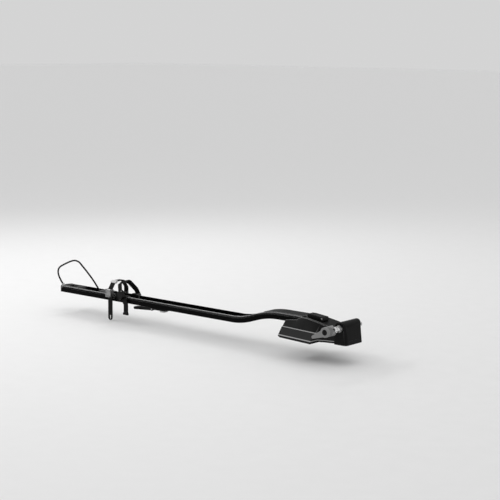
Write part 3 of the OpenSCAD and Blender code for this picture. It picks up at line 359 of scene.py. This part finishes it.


# Finishes: tones as reflectance, painted highlight lines as height and half width in metres
ALONG_RAIL = (0.05, 1, 1)
FOOT_HIGHLIGHT_LINES = ((0.0093, 0.0012), (0.0304, 0.0006))
# Some finishes carry painted highlights: on edges, on the rail's upward rims and in lines on the foot
FINISHES = {
    "rail_black": {
        "tone": 0.0015, "tone_spread": 0.3, "rough": 0.28, "rough_spread": 0.04, "specular": 0.03,
        "grain": 1500, "grain_strength": 0.12, "stretch": ALONG_RAIL,
        "edge_highlight_tone": 0.55, "edge_radius": 0.006, "rims_only": True},
    "cover_grey": {
        "tone": 0.012, "tone_spread": 0.2, "rough": 0.65, "rough_spread": 0.05, "specular": 0.08,
        "grain": 1400, "grain_strength": 0.25, "edge_highlight_tone": 0.35},
    "moulding_black": {
        "tone": 0.0035, "tone_spread": 0.25, "rough": 0.5, "rough_spread": 0.05, "specular": 0.07,
        "grain": 1400, "grain_strength": 0.3, "edge_highlight_tone": 0.3},
    "foot_black": {
        "tone": 0.011, "tone_spread": 0.25, "rough": 0.55, "rough_spread": 0.05, "specular": 0.1,
        "grain": 1400, "grain_strength": 0.3, "highlight_levels": FOOT_HIGHLIGHT_LINES},
    "shell_black": {
        "tone": 0.004, "tone_spread": 0.25, "rough": 0.5, "rough_spread": 0.05, "specular": 0.1,
        "grain": 1400, "grain_strength": 0.3, "edge_highlight_tone": 0.04},
    "lid_black": {
        "tone": 0.004, "tone_spread": 0.3, "rough": 0.45, "rough_spread": 0.06, "specular": 0.15,
        "grain": 1200, "grain_strength": 0.2},
    "rubber_black": {
        "tone": 0.008, "tone_spread": 0.3, "rough": 0.75, "rough_spread": 0.08, "specular": 0.2,
        "grain": 700, "grain_strength": 0.35},
    "cast_aluminium": {
        "tone": 0.42, "tone_spread": 0.15, "rough": 0.45, "rough_spread": 0.08, "metallic": 1.0,
        "grain": 600, "grain_strength": 0.3},
    "zinc_steel": {
        "tone": 0.52, "tone_spread": 0.15, "rough": 0.32, "rough_spread": 0.08, "metallic": 1.0,
        "grain": 900, "grain_strength": 0.12},
    "bright_steel": {
        "tone": 0.82, "tone_spread": 0.06, "rough": 0.16, "rough_spread": 0.04, "metallic": 1.0,
        "grain": 1200, "grain_strength": 0.05},
    "lever_grey": {
        "tone": 0.19, "tone_spread": 0.12, "rough": 0.42, "rough_spread": 0.05, "specular": 0.4,
        "grain": 1300, "grain_strength": 0.2},
    "strap_black": {
        "tone": 0.005, "tone_spread": 0.3, "rough": 0.5, "rough_spread": 0.07, "specular": 0.1,
        "grain": 1000, "grain_strength": 0.2},
    "pad_grey": {
        "tone": 0.55, "tone_spread": 0.08, "rough": 0.7, "rough_spread": 0.06, "specular": 0.3,
        "grain": 800, "grain_strength": 0.35},
    "buckle_grey": {
        "tone": 0.28, "tone_spread": 0.35, "rough": 0.34, "rough_spread": 0.08, "metallic": 1.0,
        "grain": 900, "grain_strength": 0.1, "patch": 160},
    "cable_black": {
        "tone": 0.003, "tone_spread": 0.3, "rough": 0.4, "rough_spread": 0.06, "specular": 0.06,
        "grain": 900, "grain_strength": 0.15},
}
FLOOR_FINISH = {
    "tone": 0.80, "tone_spread": 0.01, "rough": 0.6, "rough_spread": 0.05, "specular": 0.2,
    "grain": 60, "grain_strength": 0.02}
OWN_FINISHES = {"head_base": "foot_black", "fork_shell": "shell_black", "front_buckle": "lid_black"}
MATERIALS = {name: finish(name, **settings) for name, settings in FINISHES.items()}


# CAD nodes: a finish each, and softened edges
def smooth_below(angle):
    """A node group that shades smooth, with sharp edges only above the angle."""
    tree = bpy.data.node_groups.new("smooth_below_angle", "GeometryNodeTree")
    tree.is_modifier = True
    tree.interface.new_socket("Geometry", in_out="INPUT", socket_type="NodeSocketGeometry")
    tree.interface.new_socket("Geometry", in_out="OUTPUT", socket_type="NodeSocketGeometry")
    start = tree.nodes.new("NodeGroupInput")
    end = tree.nodes.new("NodeGroupOutput")
    faces = tree.nodes.new("GeometryNodeSetShadeSmooth")
    edges = tree.nodes.new("GeometryNodeSetShadeSmooth")
    edges.domain = "EDGE"
    between = tree.nodes.new("GeometryNodeInputMeshEdgeAngle")
    compare = tree.nodes.new("FunctionNodeCompare")
    compare.operation = "LESS_EQUAL"
    compare.inputs[1].default_value = angle
    tree.links.new(between.outputs["Unsigned Angle"], compare.inputs[0])
    tree.links.new(compare.outputs["Result"], edges.inputs["Shade Smooth"])
    tree.links.new(start.outputs["Geometry"], faces.inputs["Geometry"])
    tree.links.new(faces.outputs["Geometry"], edges.inputs["Geometry"])
    tree.links.new(edges.outputs["Geometry"], end.inputs["Geometry"])
    return tree


def add_edge_bevel(obj, width, segments):
    bevel = obj.modifiers.new("edges", "BEVEL")
    bevel.width = width * MM
    bevel.segments = segments
    bevel.limit_method = "ANGLE"
    bevel.angle_limit = EDGE_ANGLE
    return bevel


def dress_nodes():
    smooth_group = smooth_below(EDGE_ANGLE)
    for entry in frame["record"]["subparts"]:
        node = entry["node"]
        obj = frame["nodes"][node]
        obj.data.materials.clear()
        obj.data.materials.append(MATERIALS[OWN_FINISHES.get(node, entry["material_slot"])])
        weld = obj.modifiers.new("weld", "WELD")
        weld.merge_threshold = WELD_DISTANCE
        add_edge_bevel(obj, EDGE_WIDTHS.get(node, EDGE_DEFAULT), EDGE_SEGMENTS)
        smooth = obj.modifiers.new("smooth", "NODES")
        smooth.node_group = smooth_group
        weighted = obj.modifiers.new("weighted", "WEIGHTED_NORMAL")
        weighted.keep_sharp = True


dress_nodes()


# The scene's own pieces
def add_piece(obj, material_slot, body, *nodes):
    obj.data.materials.append(MATERIALS[material_slot])
    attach(obj, body)
    if nodes:
        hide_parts(*nodes)
    return obj


def mesh_object(name, verts, faces):
    mesh = bpy.data.meshes.new(name)
    mesh.from_pydata(verts, [], faces)
    mesh.update()
    return link(bpy.data.objects.new(name, mesh))


def soften(obj, width):
    bevel = add_edge_bevel(obj, width, SOFT_SEGMENTS)
    for face in obj.data.polygons:
        face.use_smooth = True
    bevel.harden_normals = True


def apply_modifiers(obj):
    bpy.context.view_layer.update()
    graph = bpy.context.evaluated_depsgraph_get()
    mesh = bpy.data.meshes.new_from_object(obj.evaluated_get(graph))
    obj.modifiers.clear()
    obj.data = mesh


# Cables
def cable_curve(name, line):
    data = bpy.data.curves.new(name, "CURVE")
    data.dimensions = "3D"
    data.bevel_depth = CABLE_DIAMETER / 2 * MM
    data.bevel_resolution = CABLE_RESOLUTION
    data.use_fill_caps = True
    spline = data.splines.new("POLY")
    spline.points.add(len(line) - 1)
    for point, place in zip(spline.points, line):
        point.co = (*place, 1)
    return link(bpy.data.objects.new(name, data))


def make_cables():
    feed_line = rounded(metres(FEED_ROUTE), ROUTE_STEPS)
    feed = cable_curve("lock_cable_sleeve", feed_line)
    add_piece(feed, "cable_black", "carrier", "lock_cable")
    turn = [(LOOP_TURN + LOOP_RADIUS * math.cos(math.radians(a)),
             LOOP_RADIUS * math.sin(math.radians(a)), LOOP_LOW) for a in LOOP_END_ANGLES]
    back_side = [(x, -y, z) for x, y, z in reversed(LOOP_SIDE)]
    loop_line = rounded(metres(LOOP_SIDE + turn + back_side), ROUTE_STEPS)
    loop = cable_curve("cable_loop_sleeve", loop_line)
    add_piece(loop, "cable_black", "carrier", "cable_loop")


make_cables()


# Straps: stations along each strap, with place, directions across and out, half width and relief
def lean_point(strap, y, z):
    """A point of a strap's own upright plane, leant back about the rail's rim."""
    lean = math.radians(strap["lean"])
    rise = z - RIM_Z
    return Vector((strap["x"] - rise * math.sin(lean), y, RIM_Z + rise * math.cos(lean)))


def leg_station(strap, y, z, out_y, out_z):
    lean = math.radians(strap["lean"])
    across = Vector((math.cos(lean), 0, math.sin(lean)))
    out = Vector((-out_z * math.sin(lean), out_y, out_z * math.cos(lean)))
    return lean_point(strap, y, z), across, out, STRAP_HALF, 0.0, 0.0


def shoulder_stations(strap, middle_y, top_z, start, end):
    """Stations round one shoulder, from one angle to another."""
    stations = []
    for i in range(SHOULDER_STEPS + 1):
        a = start + (end - start) * i / SHOULDER_STEPS
        y = middle_y + SHOULDER_RADIUS * math.cos(a)
        z = top_z + SHOULDER_RADIUS * math.sin(a)
        stations.append(leg_station(strap, y, z, math.cos(a), math.sin(a)))
    return stations


def arch_stations(strap):
    """From the far end up the far leg, over both shoulders and down to the buckle."""
    lean = math.radians(strap["lean"])
    top = RIM_Z + (SHOULDER_Z - RIM_Z) / math.cos(lean)
    reach = Vector((STRAP_SIDE - SHOULDER_Y, LEG_TOP_Z - top))
    turn = math.atan2(reach.y, reach.x) + math.acos(SHOULDER_RADIUS / reach.length)
    leg_end = LEG_TOP_Z - LEG_EASE
    upright = math.pi / 2
    stations = [leg_station(strap, STRAP_SIDE, FAR_END_Z, 1, 0)]
    stations.append(leg_station(strap, STRAP_SIDE, leg_end, 1, 0))
    stations += shoulder_stations(strap, SHOULDER_Y, top, turn, upright)
    stations += shoulder_stations(strap, -SHOULDER_Y, top, upright, math.pi - turn)
    stations.append(leg_station(strap, -STRAP_SIDE, leg_end, -1, 0))
    return stations


def tail_station(x, z, half=STRAP_HALF, depth=0.0, proud=0.0):
    return Vector((x, -STRAP_SIDE, z)), Vector((1, 0, 0)), Vector((0, -1, 0)), half, depth, proud


def rung_stations(x, low_z, high_z):
    stations = []
    count = int((high_z - low_z) / RUNG_PITCH)
    for i in reversed(range(count)):
        low = low_z + i * RUNG_PITCH
        high = low + RUNG_LENGTH
        stations.append(tail_station(x, high))
        stations.append(tail_station(x, high - RUNG_SLOPE, depth=RUNG_DEPTH))
        stations.append(tail_station(x, low + RUNG_SLOPE, depth=RUNG_DEPTH))
        stations.append(tail_station(x, low))
    return stations


def rear_stations():
    strap = REAR_STRAP
    stations = arch_stations(strap)
    stations += rung_stations(strap["x"], strap["tail"] + EYELET_HIGH + RUNG_GAP, RUNG_TOP_Z)
    for i in range(TAIL_STEPS):
        a = math.pi / 2 * i / TAIL_STEPS
        z = strap["tail"] + STRAP_HALF * (1 - math.sin(a))
        stations.append(tail_station(strap["x"], z, half=STRAP_HALF * math.cos(a)))
    return stations


def front_stations():
    strap = FRONT_STRAP
    lean = math.radians(strap["lean"])
    stations = arch_stations(strap)
    stations.append(leg_station(strap, -STRAP_SIDE, RIM_Z, -1, 0))
    bend = lean_point(strap, -STRAP_SIDE, RIM_Z - TAIL_BEND)
    ease = BEND_RADIUS * math.tan(lean / 2)
    centre = bend + Vector((-BEND_RADIUS, 0, -ease))
    outward = Vector((0, -1, 0))
    for i in range(BEND_STEPS + 1):
        a = lean * (1 - i / BEND_STEPS)
        across = Vector((math.cos(a), 0, math.sin(a)))
        stations.append((centre + BEND_RADIUS * across, across, outward, STRAP_HALF, 0.0, 0.0))
    tab_z = strap["tail"] + TAB_HIGH
    tab_half = STRAP_HALF + TAB_OUT
    stations += rung_stations(bend.x, tab_z + RUNG_GAP, bend.z - ease - TAB_EDGE)
    stations.append(tail_station(bend.x, tab_z + TAB_EDGE))
    stations.append(tail_station(bend.x, tab_z - TAB_EDGE, half=tab_half, proud=TAB_OUT))
    stations.append(tail_station(bend.x, strap["tail"], half=tab_half, proud=TAB_OUT))
    return stations


def strap_ring(half, depth, proud):
    """Cross section of a strap, with the rung's dent in its outer face."""
    thick = STRAP_THICK / 2
    top = thick + proud
    rung = min(RUNG_HALF, half * RUNG_SHARE)
    edge = min(rung + RUNG_SIDE, half * RUNG_EDGE_SHARE)
    return [(-half, top), (-edge, top), (-rung, top - depth), (rung, top - depth),
            (edge, top), (half, top), (half, -thick), (-half, -thick)]


def make_strap(name, stations):
    verts = []
    faces = []
    for place, across, out, half, depth, proud in stations:
        ring = strap_ring(half, depth, proud)
        for side, height in ring:
            verts.append((place + side * across + height * out) * MM)
    count = len(ring)
    rows = len(stations)
    for r in range(rows - 1):
        for k in range(count):
            a = r * count + k
            b = r * count + (k + 1) % count
            faces.append((a, b, b + count, a + count))
    faces.append(tuple(reversed(range(count))))
    faces.append(tuple(range((rows - 1) * count, rows * count)))
    return mesh_object(name, verts, faces)


def cut_eyelet(strap, x, tail_z):
    bpy.ops.mesh.primitive_cube_add(size=1)
    cutter = bpy.context.object
    cutter.scale = (EYELET_WIDTH * MM, 4 * STRAP_THICK * MM, (EYELET_HIGH - EYELET_LOW) * MM)
    cutter.location = Vector((x, -STRAP_SIDE, tail_z + (EYELET_LOW + EYELET_HIGH) / 2)) * MM
    rounding = cutter.modifiers.new("round", "BEVEL")
    rounding.width = EYELET_ROUND * MM
    rounding.segments = EYELET_SEGMENTS
    rounding.affect = "EDGES"
    cut = strap.modifiers.new("eyelet", "BOOLEAN")
    cut.object = cutter
    cut.operation = "DIFFERENCE"
    apply_modifiers(strap)
    bpy.data.objects.remove(cutter)


def make_straps():
    rear = make_strap("rear_wheel_strap", rear_stations())
    cut_eyelet(rear, REAR_STRAP["x"], REAR_STRAP["tail"])
    soften(rear, STRAP_SOFTNESS)
    add_piece(rear, "strap_black", "wheel_holder", "rear_strap")
    front = make_strap("front_wheel_strap", front_stations())
    soften(front, STRAP_SOFTNESS)
    add_piece(front, "strap_black", "wheel_holder", "front_strap")


make_straps()


# Rim pad: a crowned sleeve round the rear strap
def sleeve_ring(half, low, high, round_by):
    """Rounded outline of the sleeve: places across, and distances from the shoulder's centre."""
    ring = []
    corners = [(half - round_by, high - round_by, 0), (-half + round_by, high - round_by, 90),
               (-half + round_by, low + round_by, 180), (half - round_by, low + round_by, 270)]
    for across, r, start in corners:
        for i in range(PAD_CORNER_STEPS + 1):
            a = math.radians(start + 90 * i / PAD_CORNER_STEPS)
            ring.append((across + round_by * math.cos(a), r + round_by * math.sin(a)))
    return ring


def pad_verts(inside):
    verts = []
    for i in range(PAD_ROWS + 1):
        share = 2 * i / PAD_ROWS - 1
        a = math.radians(90 + PAD_TILT + share * PAD_ANGLE / 2)
        swell = PAD_SWELL * (1 - share ** PAD_SWELL_POWER)
        half = PAD_HALF - PAD_SWELL + swell
        outside = sleeve_ring(half, PAD_INNER, PAD_OUTER - PAD_SWELL + swell, PAD_ROUND)
        for across, r in outside + inside:
            y = -SHOULDER_Y + r * math.cos(a)
            z = SHOULDER_Z + r * math.sin(a)
            verts.append(Vector((REAR_STRAP["x"] + across, y, z)) * MM)
    return verts


def pad_faces(count):
    """Outer and inner walls, and the rims that join them at both ends."""
    faces = []
    width = 2 * count
    for i in range(PAD_ROWS):
        for k in range(count):
            p = i * width + k
            q = i * width + (k + 1) % count
            faces.append((p, q, q + width, p + width))
            faces.append((q + count, p + count, p + count + width, q + count + width))
    for row in (0, PAD_ROWS):
        for k in range(count):
            p = row * width + k
            q = row * width + (k + 1) % count
            rim = (p, q, q + count, p + count)
            faces.append(rim if row else tuple(reversed(rim)))
    return faces


def make_pad():
    strap_inner = SHOULDER_RADIUS - STRAP_THICK / 2
    strap_outer = SHOULDER_RADIUS + STRAP_THICK / 2
    inside = sleeve_ring(STRAP_HALF + PAD_SLOT_GAP, strap_inner - PAD_SLOT_GAP,
                         strap_outer + PAD_SLOT_GAP, PAD_SLOT_ROUND)
    pad = mesh_object("rim_pad_sleeve", pad_verts(inside), pad_faces(len(inside)))
    soften(pad, PAD_SOFTNESS)
    add_piece(pad, "pad_grey", "wheel_holder", "rim_pad")


make_pad()


# Floor and light
def make_stage():
    bpy.ops.mesh.primitive_plane_add(size=2 * FLOOR_HALF, location=(0, 0, FLOOR_Z))
    floor = bpy.context.object
    floor.name = "floor"
    floor.data.materials.append(finish("floor_pale", **FLOOR_FINISH))


def area_light(name, place, target, size, power):
    data = bpy.data.lights.new(name, "AREA")
    data.shape = "RECTANGLE"
    data.size = size[0]
    data.size_y = size[1]
    data.energy = power
    light = link(bpy.data.objects.new(name, data))
    light.location = place
    light.rotation_euler = (Vector(target) - Vector(place)).to_track_quat("-Z", "Y").to_euler()


def make_world():
    """A pale background for what is seen or mirrored, and a slightly brighter one as light."""
    world = bpy.data.worlds.new("studio")
    bpy.context.scene.world = world
    world.use_nodes = True
    tree = world.node_tree
    lit = tree.nodes["Background"]
    lit.inputs["Color"].default_value = WHITE
    lit.inputs["Strength"].default_value = WORLD_LIGHT
    seen = tree.nodes.new("ShaderNodeBackground")
    seen.inputs["Color"].default_value = WHITE
    seen.inputs["Strength"].default_value = WORLD_SEEN
    path = tree.nodes.new("ShaderNodeLightPath")
    factor = path.outputs["Is Camera Ray"]
    for name in ("Is Glossy Ray", "Is Transmission Ray"):
        factor = combine(tree, "MAXIMUM", factor, path.outputs[name])
    mix = tree.nodes.new("ShaderNodeMixShader")
    tree.links.new(factor, mix.inputs["Fac"])
    tree.links.new(lit.outputs["Background"], mix.inputs[1])
    tree.links.new(seen.outputs["Background"], mix.inputs[2])
    tree.links.new(mix.outputs["Shader"], tree.nodes["World Output"].inputs["Surface"])


make_stage()
make_world()
for name, box in SOFTBOXES.items():
    area_light(name, box["place"], MIDDLE, box["size"], box["power"])

bpy.context.scene.view_settings.view_transform = "Standard"
